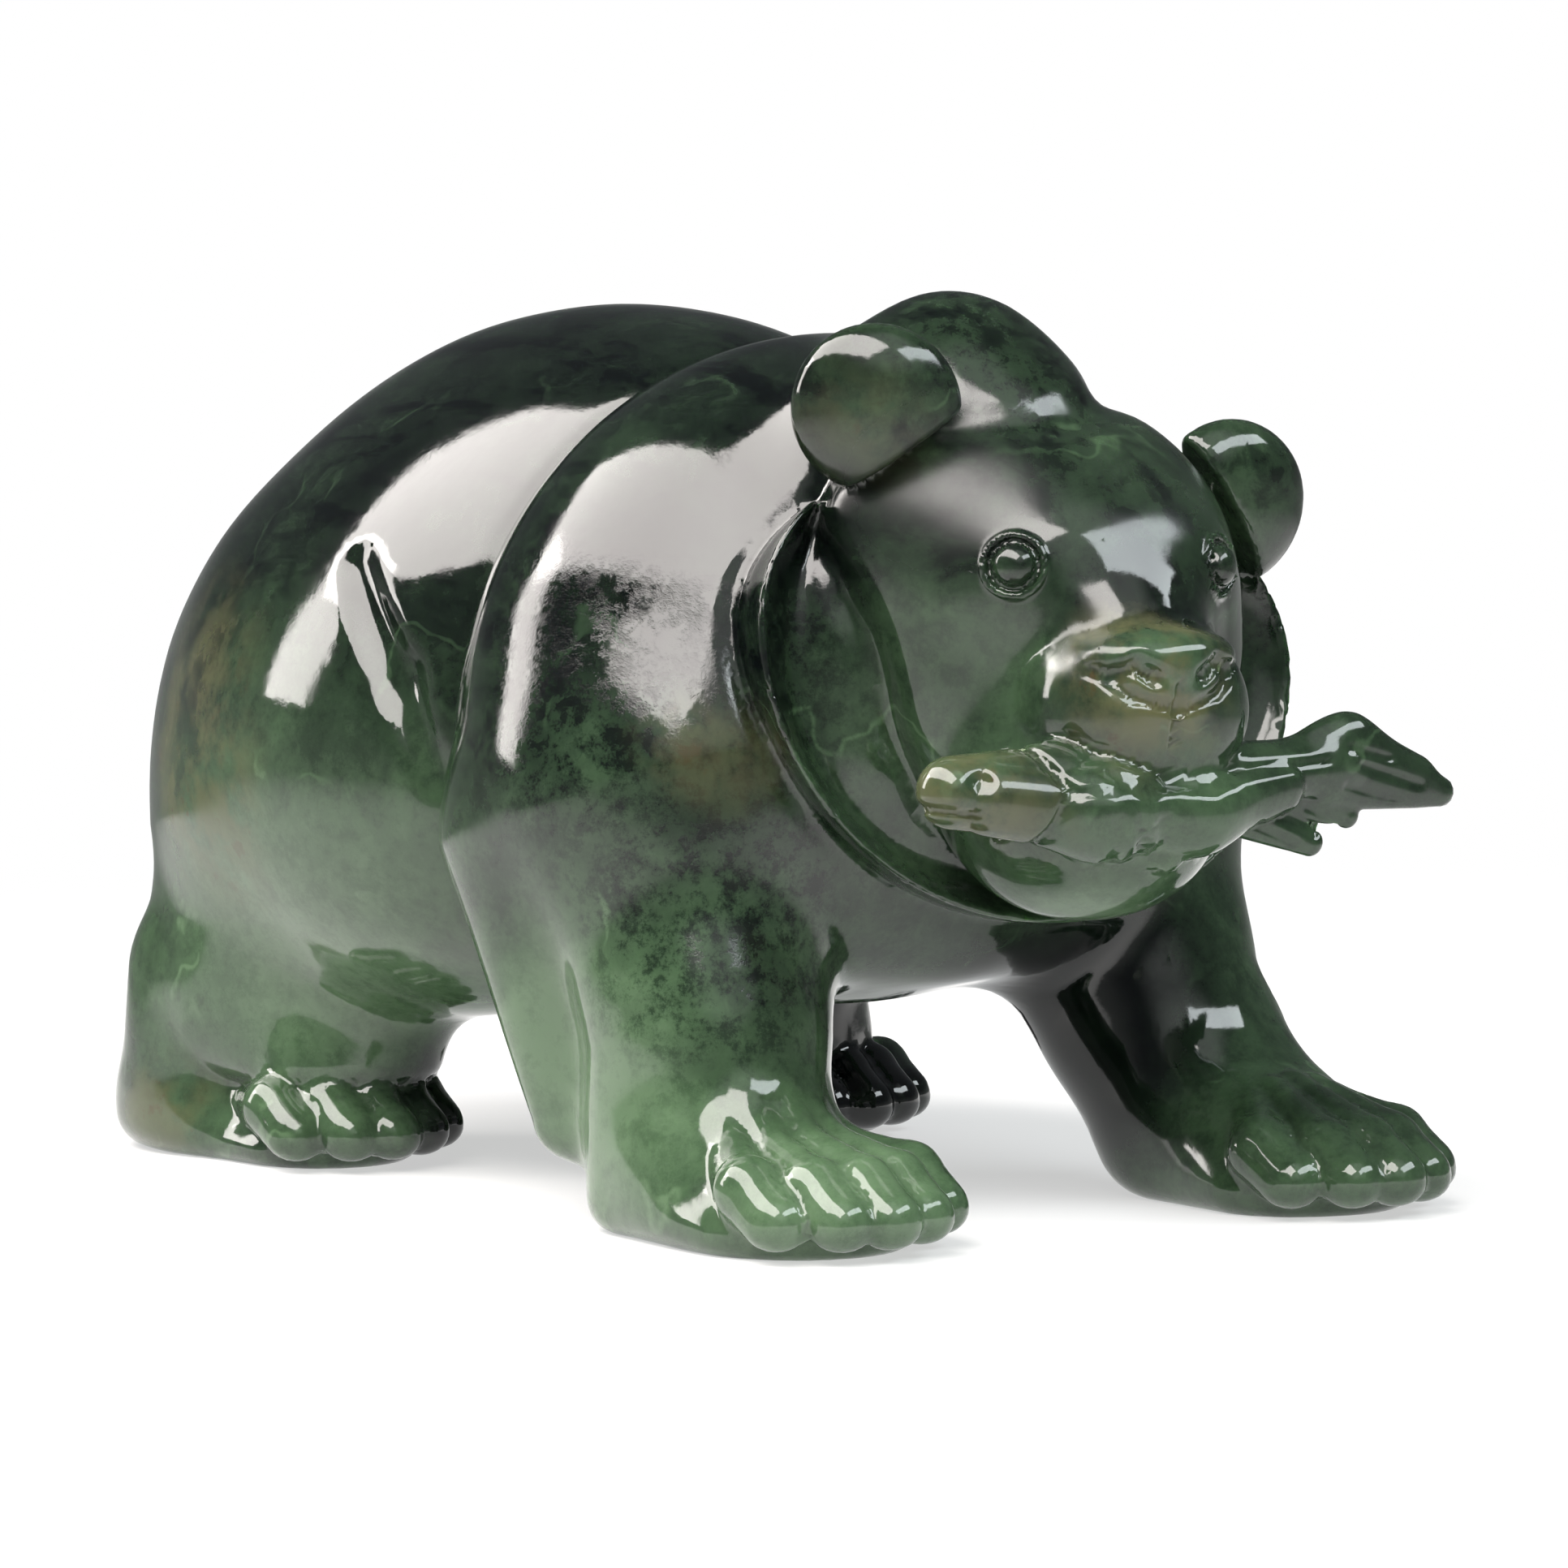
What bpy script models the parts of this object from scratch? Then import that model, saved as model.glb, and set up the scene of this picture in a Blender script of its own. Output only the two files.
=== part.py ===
"""Polished jade bear standing four-square with a salmon held across its jaws.

The bear, the salmon and the paws are one stone, so the model is one solid.
Each mass of the carving is a distance function in millimetres, the masses are
joined with a chosen sharpness, and the whole is turned into one closed mesh.
+X runs out through the nose, +Y is the bear's own left, +Z is up.
"""

import bmesh
import bpy
import numpy as np
import openvdb
from mathutils import Euler, Matrix

NAME = "jade_bear"
MM = 0.001
JADE_COLOUR = (0.045, 0.12, 0.06, 1)
TRIANGLES = 9200
GRID_STEP = 0.5
LOW = (-56, -30, -4)
HIGH = (52, 30, 58)
FLOOR_SIZE = (0.2, 0.2, 0.01)

# Masses of the body: centre, half sizes, and the half height below the centre.
BARREL = ((0, 0, 0), (36.9, 21.2, 26.2), 15.2)
BARREL_PLACE = (-14.4, 0, 27.2)
BARREL_TURN = (0, -4, 0)
HAUNCH = ((-13.5, 11.4, 25.8), (19.0, 12.6, 15.0), 14.5)
RUMP = ((-21.5, 11.2, 25.8), (20.5, 12.2, 15.5), 15.0)
WAIST = ((0.5, 27.5, 30.5), (8, 6.6, 13))
SHOULDERS = ((10.6, 0, 27), (18.2, 24.2, 24.5), 15.5)
HUMP = ((22.6, 0.2, 38), (10.1, 9.5, 15.7), 15)
NECK = ((21.0, 2.0, 31.5), (8.5, 14.5, 17.0))
TAIL = ((-46.9, 0, 33), (-49.9, 0, 27.5), 3.2, 2.4)
SOLE_EDGE = 2.4
SHOULDER_CREASE = 0.7
HAUNCH_BLEND = 8
FLANK_GROOVE = (((-8.8, 21.9, 38.2), 0.5), ((-2.6, 23.0, 31.4), 1.5), ((0.4, 22.0, 25.5), 0.5))

# Legs of the left side: balls from the top down, each a place and a radius.
FORE_LEG = (((15, 15.1, 24), 9.2), ((19.8, 15.1, 12), 5.9), ((22.8, 15.6, 5.5), 5.2))
ELBOW = (((8, 18.3, 22), 6.5), ((11.4, 19.2, 6.0), 2.4))
ELBOW_BLEND = 3
LEFT_FORE_SHIFT = (0.2, 0.4, 0)
RIGHT_FORE_SHIFT = (0, 0, 0)
LEFT_ELBOW_STEP = 3.5
RIGHT_ELBOW_STEP = 0
HIND_LEG = (((-35.6, 9.0, 20.5), 8.5), ((-33.4, 14.8, 11.5), 8.0))
THIGH = (((-26, 12.2, 19), 10.3), ((-25.8, 13.6, 13.2), 6.8))
HEEL = ((-34.2, 15.6, 11), (-35.1, 15.8, 4), 7.6, 7.7)
INSTEP = (((-29, 14.6, 9.5), 7.8), ((-23.2, 14.8, 6.2), 6.0))
LEFT_HIND_STEP = 4.6
RIGHT_HIND_STEP = 0
INSTEP_FOOT = 4.9

# Paws: ankle and toe end on the ground, half width, height at the ankle.
RIGHT_FORE_PAW = ((18.8, -15.4), (39.8, -14.9), 7.4, 11)
LEFT_FORE_PAW = ((25.4, 17.4), (42.8, 18.3), 7.0, 11.6)
RIGHT_HIND_PAW = ((-37.5, -15.8), (-14.4, -15.4), 6.9, 7.2)
LEFT_HIND_PAW = ((-33, 16), (-9.0, 16.2), 7.0, 9)
TOES = 5
TOE_RADIUS = 1.95
TOE_LENGTH = 2.6
KNUCKLE_HEIGHT = 5.8
TOE_TIP_HEIGHT = 4.2
TOE_REACH = 3.2
TOE_ROOT = 0.38
TOE_ROOT_DEPTH = 0.7
WEB_HEIGHT = 2.9
PAW_EDGE = 4.5

# Collar of cheek fur round the head, and the head inside it.
RUFF = (26.3, 2.6, 33)
RUFF_TURN = (-8, -12, 0)
RUFF_SIZE = ((9, 18.4, 12), 16)
RUFF_BAND = 2.7
RUFF_HOLLOW = 1.6
HEAD_TURN = (-8, 0, 0)
SKULL = ((28, 3.2, 33.4), (10.3, 12.0, 13.0))
FOREHEAD = ((25.3, 1.7, 39.1), (9.8, 12.6, 8.3))
BROW = ((-12.3, -1.0, 13.6), (-2.3, 0, 7.2), 3.6, 4.2)
BROW_FLATNESS = 0.6
NAPE = ((28.0, 2.2, 42.0), (23, 1.2, 43.0), 5.2, 6.6)
JAW = ((35, 0.6, 24.3), (8.3, 7.6, 6.4))

# Muzzle, seen along the face: centre and half sizes of its masses.
MUZZLE = (37.6, 1.5, 31)
FACE_TURN = (0, 0, -8)
SNOUT = ((-1.5, 0, -1.0), (8.3, 6.4, 8.0))
STOP_BLEND = 2
LIP = ((1.8, 2.6, -0.8), (5.0, 3.7, 4.2))
NOSE = ((4.8, -0.2, 2.1), (2.9, 4.7, 2.1))
NOSE_TIP = ((5.8, -0.1, 0.2), (1.6, 2.4, 2.4))
EYES = (((36.2, -4.9, 38.3), (0, -7, -33)), ((37.4, 7.2, 37.9), (0, -4, 18)))
EYE_RADIUS = 1.2
LID_RADIUS = 1.9

# Ears: place, radius, turn, and the angle and distance of the straight base.
RIGHT_EAR = ((29, -9.2, 47.2), 4.9, (0, 8, -33), 56, 2.9)
LEFT_EAR = ((28, 16.2, 41.1), 5.1, (0, 8, -6), 148, 0.6)
EAR_THICKNESS = 2.5

SALMON = (41, 0.5, 25.7)
SALMON_TURN = (0, 0, -8)


def frame(p, origin, turn):
    """Points as seen from a feature that is placed and turned, in degrees."""
    axes = Euler(np.radians(turn)).to_matrix()
    return (p - np.array(origin)) @ np.array(axes)


def ellipsoid(p, centre, radii, under=None):
    """Distance to an ellipsoid, true near its surface, flatter under its middle."""
    q = p - np.array(centre, float)
    size = np.broadcast_to(np.array(radii, float), q.shape).copy()
    if under:
        size[q[:, 2] < 0, 2] = under
    ratio = np.linalg.norm(q / size, axis=1)
    slope = np.linalg.norm(q / size**2, axis=1)
    return ratio * (ratio - 1) / np.maximum(slope, 1e-9)


def rod(p, start, end, radius, end_radius):
    """Distance to a stick with round ends of two sizes."""
    start = np.array(start, float)
    axis = np.array(end, float) - start
    along = np.clip((p - start) @ axis / (axis @ axis), 0, 1)
    reach = np.linalg.norm(p - start - along[:, None] * axis, axis=1)
    return reach - radius - (end_radius - radius) * along


def join(a, b, soft):
    """Union of two distances with a fillet of the given width."""
    near = np.maximum(soft - np.abs(a - b), 0)
    return np.minimum(a, b) - near**2 / (4 * soft)


def cut(a, b, soft):
    """What is left of the first when the second is taken out of it."""
    return -join(-a, b, soft)


def eased(x):
    """A smooth step from nought to one."""
    x = np.clip(x, 0, 1)
    return x * x * (3 - 2 * x)


def seam(a, b, soft, width, depth):
    """Union with a line scored along the meeting of the two surfaces."""
    return join(a, b, soft) + depth * np.exp(-(((a - b) / width) ** 2))


def chain(p, balls, soft):
    """A limb through a row of balls."""
    shape = rod(p, balls[0][0], balls[1][0], balls[0][1], balls[1][1])
    for (start, radius), (end, end_radius) in zip(balls[1:], balls[2:]):
        shape = join(shape, rod(p, start, end, radius, end_radius), soft)
    return shape


def mirrored(p, side):
    """Points as the left side sees them, so that both sides share one shape."""
    return p * (1, side, 1)


def paw(p, ankle, toe_end, half_width, height):
    """A rounded wedge along the ground, ending in a row of toes."""
    ankle, toe_end = np.array((*ankle, 0.0)), np.array((*toe_end, 0.0))
    way = toe_end - ankle
    length = np.linalg.norm(way)
    q = frame(p, ankle, (0, 0, np.degrees(np.arctan2(way[1], way[0]))))
    flat = q * (1, 1, 0)
    ball = (length - TOE_REACH - half_width, 0, 0)
    palm = rod(flat, (0, 0, 0), ball, half_width * 0.88, half_width)
    slope = (height - WEB_HEIGHT) * (np.clip(q[:, 0], 0, length) / length) ** 0.8
    top = q[:, 2] - height + slope + q[:, 1] ** 2 / (2.6 * half_width)
    toes = 1e3
    root = length * TOE_ROOT
    root_lift = height - (height - WEB_HEIGHT) * TOE_ROOT**0.8 - TOE_ROOT_DEPTH
    for index in range(TOES):
        spread = index / (TOES - 1) * 2 - 1
        across = spread * (half_width - TOE_RADIUS)
        tip = length - TOE_RADIUS - TOE_REACH * spread**2
        toe = (
            ((root, across * 0.6, root_lift - spread**2), 1.1),
            ((tip - TOE_LENGTH, across, KNUCKLE_HEIGHT - TOE_RADIUS), TOE_RADIUS),
            ((tip, across, TOE_TIP_HEIGHT - TOE_RADIUS), TOE_RADIUS),
        )
        toes = np.minimum(toes, chain(q, toe, 0.5))
    wedge = cut(palm, -top, PAW_EDGE)
    return join(wedge, toes, 0.5)


def hindquarters(p):
    shape = ellipsoid(frame(p, BARREL_PLACE, BARREL_TURN), *BARREL)
    for side, hind_paw, step in (
        (1, LEFT_HIND_PAW, LEFT_HIND_STEP),
        (-1, RIGHT_HIND_PAW, RIGHT_HIND_STEP),
    ):
        q = mirrored(p, side)
        shape = cut(shape, ellipsoid(q, *WAIST), 5)
        flank = join(ellipsoid(q, *RUMP), ellipsoid(q, *HAUNCH), 6)
        shape = join(shape, flank, HAUNCH_BLEND)
        shape = cut(shape, chain(q, FLANK_GROOVE, 1), 1.6)
        q = q - np.array((step, 0, 0))
        instep = cut(chain(q, INSTEP, 1), q[:, 2] - INSTEP_FOOT, 1.5)
        foot = join(paw(p, *hind_paw), rod(q, *HEEL), 3)
        thigh = join(chain(q, HIND_LEG, 4), chain(q, THIGH, 4), 5)
        shape = join(join(shape, thigh, 6), instep, 3)
        shape = join(shape, foot, 0.5)
    return join(shape, rod(p, *TAIL), 1.5)


def forequarters(p):
    shape = join(ellipsoid(p, *SHOULDERS), ellipsoid(p, *HUMP), 5)
    for side, fore_paw, shift, step in (
        (1, LEFT_FORE_PAW, LEFT_FORE_SHIFT, LEFT_ELBOW_STEP),
        (-1, RIGHT_FORE_PAW, RIGHT_FORE_SHIFT, RIGHT_ELBOW_STEP),
    ):
        q = mirrored(p, side)
        leg = join(chain(q - np.array(shift), FORE_LEG, 5), paw(p, *fore_paw), 3.5)
        shape = join(shape, leg, 5)
        elbow = chain(q - np.array((step, 0, 0)), ELBOW, 5)
        shape = join(shape, elbow, ELBOW_BLEND)
    return join(join(shape, ellipsoid(p, *NECK), 4), rod(p, *NAPE), 6)


def ruff(p):
    """A collar with a sharp rim, hollowed between the rim and the face."""
    q = frame(p, RUFF, RUFF_TURN)
    ring = ellipsoid(q * (0, 1, 1), (0, 0, 0), *RUFF_SIZE)
    hollow = np.maximum(1 - (ring / RUFF_BAND + 1) ** 2, 0)
    front = q[:, 0] - 1.4 - 0.06 * q[:, 2] + RUFF_HOLLOW * hollow
    back = ring - 0.12 * q[:, 0] + np.maximum(-5 - q[:, 0], 0)
    return cut(front, -back, 0.5)


def muzzle(q):
    """A domed snout with two lips and a broad nose pad, seen along the face."""
    lips = join(ellipsoid(q, *LIP), ellipsoid(mirrored(q, -1), *LIP), 0.5)
    shape = join(ellipsoid(q, *SNOUT), lips, 1.5)
    nose = join(ellipsoid(q, *NOSE), ellipsoid(q, *NOSE_TIP), 1.2)
    return join(shape, nose, 0.9)


def eye(shape, p, place, turn):
    """A round eye in a raised ring, both following the surface of the face."""
    q = frame(p, place, turn)
    away = np.hypot(q[:, 1], q[:, 2]) + 3 * (np.abs(q[:, 0]) > 3)
    shape = shape + 0.45 * np.exp(-(((away - 1.45) / 0.35) ** 2))
    ring = np.hypot(away - LID_RADIUS, shape) - 0.3
    ball = np.hypot(away, shape + 0.5) - EYE_RADIUS
    return join(join(shape, ring, 0.2), ball, 0.1)


def head(p):
    q = frame(p, SKULL[0], HEAD_TURN)
    shape = join(ellipsoid(q, (0, 0, 0), SKULL[1]), ellipsoid(p, *JAW), 3)
    q = frame(p, FOREHEAD[0], HEAD_TURN)
    shape = join(shape, ellipsoid(q, (0, 0, 0), FOREHEAD[1]), 4)
    q = frame(p, MUZZLE, FACE_TURN)
    shape = join(shape, rod(q * (1, BROW_FLATNESS, 1), *BROW), 4)
    shape = join(shape, muzzle(q), 1 + STOP_BLEND * eased((q[:, 2] - 2) / 4))
    for place, turn in EYES:
        shape = eye(shape, p, place, turn)
    return shape


def ear(p, place, radius, turn, angle, base):
    """A convex disc, cut straight where it meets the head."""
    q = frame(p, place, turn)
    disc = ellipsoid(q, (0, 0, 0), (EAR_THICKNESS, radius, radius))
    angle = np.radians(angle)
    outward = q[:, 1] * -np.cos(angle) + q[:, 2] * np.sin(angle)
    return cut(disc, outward + base, 0.4)


def salmon(p):
    """Body with its head to the bear's right, fins below, and a ridged tail."""
    q = frame(p, SALMON, SALMON_TURN)
    shape = rod(q, (0, -12, 0.3), (0, -5.5, 0.1), 2.1, 2.8)
    shape = join(shape, rod(q, (0, -5.5, 0.1), (0, 12.5, 0.8), 2.8, 1.6), 1)
    thin = q * (1.7, 1, 1)
    tail = rod(thin, (0, 12, 0.7), (0, 19.2, -0.9), 2.5, 0.9)
    tail = join(tail, rod(thin, (0, 7.5, 0.9), (0, 13.2, 1.9), 1.0, 1.6), 1.5)
    tail = join(tail, rod(thin, (0, 13.2, 1.9), (0, 17.5, 0.3), 1.6, 0.9), 1.5)
    fins = rod(thin, (0, 6, -1.4), (0, 10.6, -3.4), 1.6, 0.9)
    fins = join(fins, rod(thin, (0, 9, -0.8), (0, 13, -2.0), 1.2, 0.8), 0.2)
    fins = join(fins, rod(thin, (2.2, -3.6, -2.2), (2.2, 0.6, -3.2), 1.3, 1.5), 0.2)
    return join(join(shape, tail / 1.5, 0.5), fins / 1.5, 0.3)


def nearby(p, centre, reach, field):
    """The field inside a ball that holds the feature, and the way to the ball outside."""
    away = np.linalg.norm(p - np.array(centre), axis=1) - reach
    result = away + 3
    close = away < 0
    result[close] = field(p[close])
    return result


def bear(p):
    shape = seam(hindquarters(p), forequarters(p), SHOULDER_CREASE, 0.7, 0.4)
    shape = seam(shape, nearby(p, RUFF, 25, ruff), 0.5, 0.7, 0.3)
    shape = seam(shape, nearby(p, MUZZLE, 28, head), 0.5, 0.7, 0.4)
    shape = join(shape, ear(p, *RIGHT_EAR), 0.3)
    shape = join(shape, ear(p, *LEFT_EAR), 0.3)
    shape = join(shape, nearby(p, SALMON, 24, salmon), 0.3)
    return cut(shape, p[:, 2] + 0.2, SOLE_EDGE)


def sampled(field, step):
    """The field on a grid, worked out in full only in blocks that the surface crosses."""
    side = 4
    block = side * step
    counts = np.ceil((np.array(HIGH) - LOW) / block).astype(int)
    corners = np.stack(np.meshgrid(*map(np.arange, counts), indexing="ij"), -1)
    centres = np.array(LOW) + (corners.reshape(-1, 3) + 0.5) * block - step / 2
    guess = field(centres)
    grid = np.repeat(guess, side**3).reshape(-1, side, side, side)
    inside = np.stack(np.meshgrid(*[np.arange(side)] * 3, indexing="ij"), -1)
    offsets = (inside - (side - 1) / 2) * step
    crossed = np.flatnonzero(np.abs(guess) < block * 1.4)
    for start in range(0, len(crossed), 1000):
        some = crossed[start : start + 1000]
        points = centres[some][:, None, None, None] + offsets
        grid[some] = field(points.reshape(-1, 3)).reshape(-1, side, side, side)
    grid = grid.reshape(*counts, side, side, side).transpose(0, 3, 1, 4, 2, 5)
    return grid.reshape(counts * side)


def surface(field, step):
    """Points and outward triangles of the field's zero surface."""
    volume = openvdb.FloatGrid()
    volume.copyFromArray(sampled(field, step).astype(np.float32))
    points, triangles, quads = volume.convertToPolygons(isovalue=0.0)
    faces = np.concatenate([triangles, quads[:, :3], quads[:, [0, 2, 3]]])
    return points * step + np.array(LOW), faces[:, ::-1]


def centred(points):
    """The points moved so that the origin is under the middle of their box."""
    middle = (points.min(axis=0) + points.max(axis=0)) / 2
    return points - middle * (1, 1, 0)


def linked(name, mesh, collection_name):
    """A new object in a collection of its own."""
    thing = bpy.data.objects.new(name, mesh)
    collection = bpy.data.collections.new(collection_name)
    bpy.context.scene.collection.children.link(collection)
    collection.objects.link(thing)
    return thing


def floor_cutter():
    """A slab whose top is the ground, so that the soles end flat."""
    mesh = bpy.data.meshes.new("floor")
    shape = bmesh.new()
    bmesh.ops.create_cube(shape, size=1, matrix=Matrix.Diagonal((*FLOOR_SIZE, 1)))
    bmesh.ops.translate(shape, vec=(0, 0, -FLOOR_SIZE[2] / 2), verts=shape.verts)
    shape.to_mesh(mesh)
    shape.free()
    cutter = linked("floor", mesh, "cutters")
    cutter.hide_render = True
    cutter.display_type = "WIRE"
    return cutter


def jade():
    material = bpy.data.materials.new("polished_jade")
    material.use_nodes = True
    shader = material.node_tree.nodes["Principled BSDF"]
    shader.inputs["Base Color"].default_value = JADE_COLOUR
    shader.inputs["Roughness"].default_value = 0.12
    shader.inputs["Metallic"].default_value = 0
    return material


def main(step=GRID_STEP):
    for thing in list(bpy.data.objects):
        bpy.data.objects.remove(thing)
    points, faces = surface(bear, step)
    mesh = bpy.data.meshes.new(NAME)
    mesh.from_pydata((centred(points) * MM).tolist(), [], faces.tolist())
    mesh.shade_smooth()
    mesh.materials.append(jade())
    piece = linked(NAME, mesh, "jade_bear_figurine")
    fewer = piece.modifiers.new("fewer_facets", "DECIMATE")
    fewer.ratio = TRIANGLES / len(faces)
    soles = piece.modifiers.new("flat_soles", "BOOLEAN")
    soles.operation = "DIFFERENCE"
    soles.solver = "EXACT"
    soles.object = floor_cutter()
    return piece


if __name__ == "__main__":
    main()
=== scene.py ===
"""Looks of the polished jade bear: its finished surface, its stone and a plain studio.

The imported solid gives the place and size. One finished surface stands for it: the
same distance functions, with the finer relief that a carver cuts last, worked out
on a finer grid. Lengths are in millimetres and become metres in the meshes; the
studio is in metres. +X runs out through the nose, +Y is the bear's own left, +Z is up.
"""

import bmesh
import bpy
import numpy as np
import openvdb
from mathutils import Euler, Matrix, Quaternion, Vector


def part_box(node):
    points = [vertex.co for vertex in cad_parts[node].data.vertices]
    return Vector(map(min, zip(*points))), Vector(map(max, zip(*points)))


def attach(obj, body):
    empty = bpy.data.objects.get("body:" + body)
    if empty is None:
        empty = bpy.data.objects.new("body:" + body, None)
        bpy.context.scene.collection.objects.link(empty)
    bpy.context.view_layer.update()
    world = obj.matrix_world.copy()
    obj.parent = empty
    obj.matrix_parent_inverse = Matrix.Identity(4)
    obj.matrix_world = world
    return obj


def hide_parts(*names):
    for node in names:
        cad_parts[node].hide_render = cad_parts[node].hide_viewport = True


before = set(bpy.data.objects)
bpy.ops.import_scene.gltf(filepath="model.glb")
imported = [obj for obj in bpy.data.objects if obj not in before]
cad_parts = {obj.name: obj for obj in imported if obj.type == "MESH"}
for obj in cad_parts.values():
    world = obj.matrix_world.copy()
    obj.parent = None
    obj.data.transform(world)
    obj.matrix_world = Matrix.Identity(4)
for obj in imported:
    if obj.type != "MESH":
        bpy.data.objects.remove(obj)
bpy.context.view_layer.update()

NODE = "jade_bear"
PIECE = "carved_jade_bear"
MM = 0.001
TINY = 1e-9
FAR = 1000

GRID_STEP = 0.36
LOW = (-56, -30, -4)
HIGH = (52, 30, 58)
BLOCK_SIDE = 4
BLOCK_REACH = 1.4
BLOCKS_AT_ONCE = 1000

# Facets: how many before the fine places are refined, and how points move on to the surface.
TRIANGLES = 108000
SLOPE_STEP = 0.02
LEAST_SLOPE = 0.1
SETTLING_ROUNDS = 4
MOST_MOVE = 0.3
LONGEST_WAY = 0.9
NEAR_ENOUGH = 0.05

# Masses of the body: centre, half sizes, and the half height below the centre.
BARREL = ((0, 0, 0), (36.9, 21.2, 26.2), 15.2)
BARREL_PLACE = (-14.4, 0, 27.2)
BARREL_TURN = (0, -4, 0)
HAUNCH = ((-13.5, 11.4, 25.8), (19.0, 12.6, 15.0), 14.5)
RUMP = ((-21.5, 11.2, 25.8), (20.5, 12.2, 15.5), 15.0)
WAIST = ((0.5, 27.5, 30.5), (8, 6.6, 13))
SHOULDERS = ((10.6, 0, 27), (18.2, 24.2, 24.5), 15.5)
HUMP = ((22.6, 0.2, 38), (10.1, 9.5, 15.7), 15)
NECK = ((21.0, 2.0, 31.5), (8.5, 14.5, 17.0))
TAIL = ((-46.9, 0, 33), (-49.9, 0, 27.5), 3.2, 2.4)
SOLE_EDGE = 2.4
SHOULDER_CREASE = 0.7
HAUNCH_BLEND = 8
WAIST_BLEND = 5
FLANK_BLEND = 6
TAIL_BLEND = 1.5
HUMP_BLEND = 5
NECK_BLEND = 4
NAPE_BLEND = 6
GROOVE_BLEND = 1.6
FLANK_GROOVE = (((-8.8, 21.9, 38.2), 0.5), ((-2.6, 23.0, 31.4), 1.5), ((0.4, 22.0, 25.5), 0.5))

# Legs of the left side: balls from the top down, each a place and a radius.
FORE_LEG = (((15, 15.1, 24), 9.2), ((19.8, 15.1, 12), 5.9), ((22.8, 15.6, 5.5), 5.2))
ELBOW = (((8, 18.3, 22), 6.5), ((11.4, 19.2, 6.0), 2.4))
ELBOW_BLEND = 3
LEG_BLEND = 5
LIMB_BLEND = 4
THIGH_BLEND = 6
ANKLE_BLEND = 3.5
LEFT_FORE_SHIFT = (0.2, 0.4, 0)
RIGHT_FORE_SHIFT = (0, 0, 0)
LEFT_ELBOW_STEP = 3.5
RIGHT_ELBOW_STEP = 0
HIND_LEG = (((-35.6, 9.0, 20.5), 8.5), ((-33.4, 14.8, 11.5), 8.0))
THIGH = (((-26, 12.2, 19), 10.3), ((-25.8, 13.6, 13.2), 6.8))
HEEL = ((-34.2, 15.6, 11), (-35.1, 15.8, 4), 7.6, 7.7)
INSTEP = (((-29, 14.6, 9.5), 7.8), ((-23.2, 14.8, 6.2), 6.0))
LEFT_HIND_STEP = 4.6
RIGHT_HIND_STEP = 0
INSTEP_FOOT = 4.9
INSTEP_BLEND = 1.5
FOOT_BLEND = 0.5
HEEL_BLEND = 3

# Paws: ankle and toe end on the ground, half width, height at the ankle.
RIGHT_FORE_PAW = ((18.8, -15.4), (39.8, -14.9), 7.4, 11)
LEFT_FORE_PAW = ((25.4, 17.4), (42.8, 18.3), 7.0, 11.6)
RIGHT_HIND_PAW = ((-37.5, -15.8), (-14.4, -15.4), 6.9, 7.2)
LEFT_HIND_PAW = ((-33, 16), (-9.0, 16.2), 7.0, 9)
TOES = 5
TOE_RADIUS = 1.95
TOE_LENGTH = 2.6
KNUCKLE_HEIGHT = 5.8
TOE_TIP_HEIGHT = 4.2
TOE_REACH = 3.2
TOE_ROOT = 0.38
TOE_ROOT_DEPTH = 0.7
TOE_ROOT_RADIUS = 1.1
TOE_FAN = 0.6
TOE_BLEND = 0.5
WEB_HEIGHT = 2.9
PAW_EDGE = 4.5
PAW_SLOPE = 0.8
PAW_CROWN = 2.6
HEEL_SHARE = 0.88

# Collar of cheek fur round the head, and the head inside it.
RUFF = (26.3, 2.6, 33)
RUFF_TURN = (-8, -12, 0)
RUFF_SIZE = ((9, 18.4, 12), 16)
RUFF_BAND = 2.7
RUFF_HOLLOW = 1.6
RUFF_FRONT = 1.4
RUFF_LEAN = 0.06
RUFF_TAPER = 0.12
RUFF_DEPTH = 5
RIM_BLEND = 0.5
HEAD_TURN = (-8, 0, 0)
SKULL = ((28, 3.2, 33.4), (10.3, 12.0, 13.0))
FOREHEAD = ((25.3, 1.7, 39.1), (9.8, 12.6, 8.3))
BROW = ((-12.3, -1.0, 13.6), (-2.3, 0, 7.2), 3.6, 4.2)
BROW_FLATNESS = 0.6
NAPE = ((28.0, 2.2, 42.0), (23, 1.2, 43.0), 5.2, 6.6)
JAW = ((35, 0.6, 24.3), (8.3, 7.6, 6.4))
JAW_BLEND = 3
BROW_BLEND = 4

# Muzzle, seen along the face: centre and half sizes of its masses.
MUZZLE = (37.6, 1.5, 31)
FACE_TURN = (0, 0, -8)
SNOUT = ((-1.5, 0, -1.0), (8.3, 6.4, 8.0))
SNOUT_BLEND = 1.5
CHIN_BLEND = 1
STOP_BLEND = 2
BRIDGE_START = 2
BRIDGE_RISE = 4
LIP = ((1.8, 2.6, -0.8), (5.0, 3.7, 4.2))
NOSE = ((4.8, -0.2, 2.1), (2.9, 4.7, 2.1))
NOSE_TIP = ((5.8, -0.1, 0.2), (1.6, 2.4, 2.4))
LIP_BLEND = 0.5
NOSE_TIP_BLEND = 1.2
NOSE_BLEND = 0.9
EYES = (((36.2, -4.9, 38.3), (0, -7, -33)), ((37.4, 7.2, 37.9), (0, -4, 18)))

# Ears: place, radius, turn, and the angle and distance of the straight base.
RIGHT_EAR = ((29, -9.2, 47.2), 4.9, (0, 8, -33), 56, 2.9)
LEFT_EAR = ((28, 16.2, 41.1), 5.1, (0, 8, -6), 148, 0.6)
EAR_THICKNESS = 2.5
EAR_BLEND = 0.4

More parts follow.
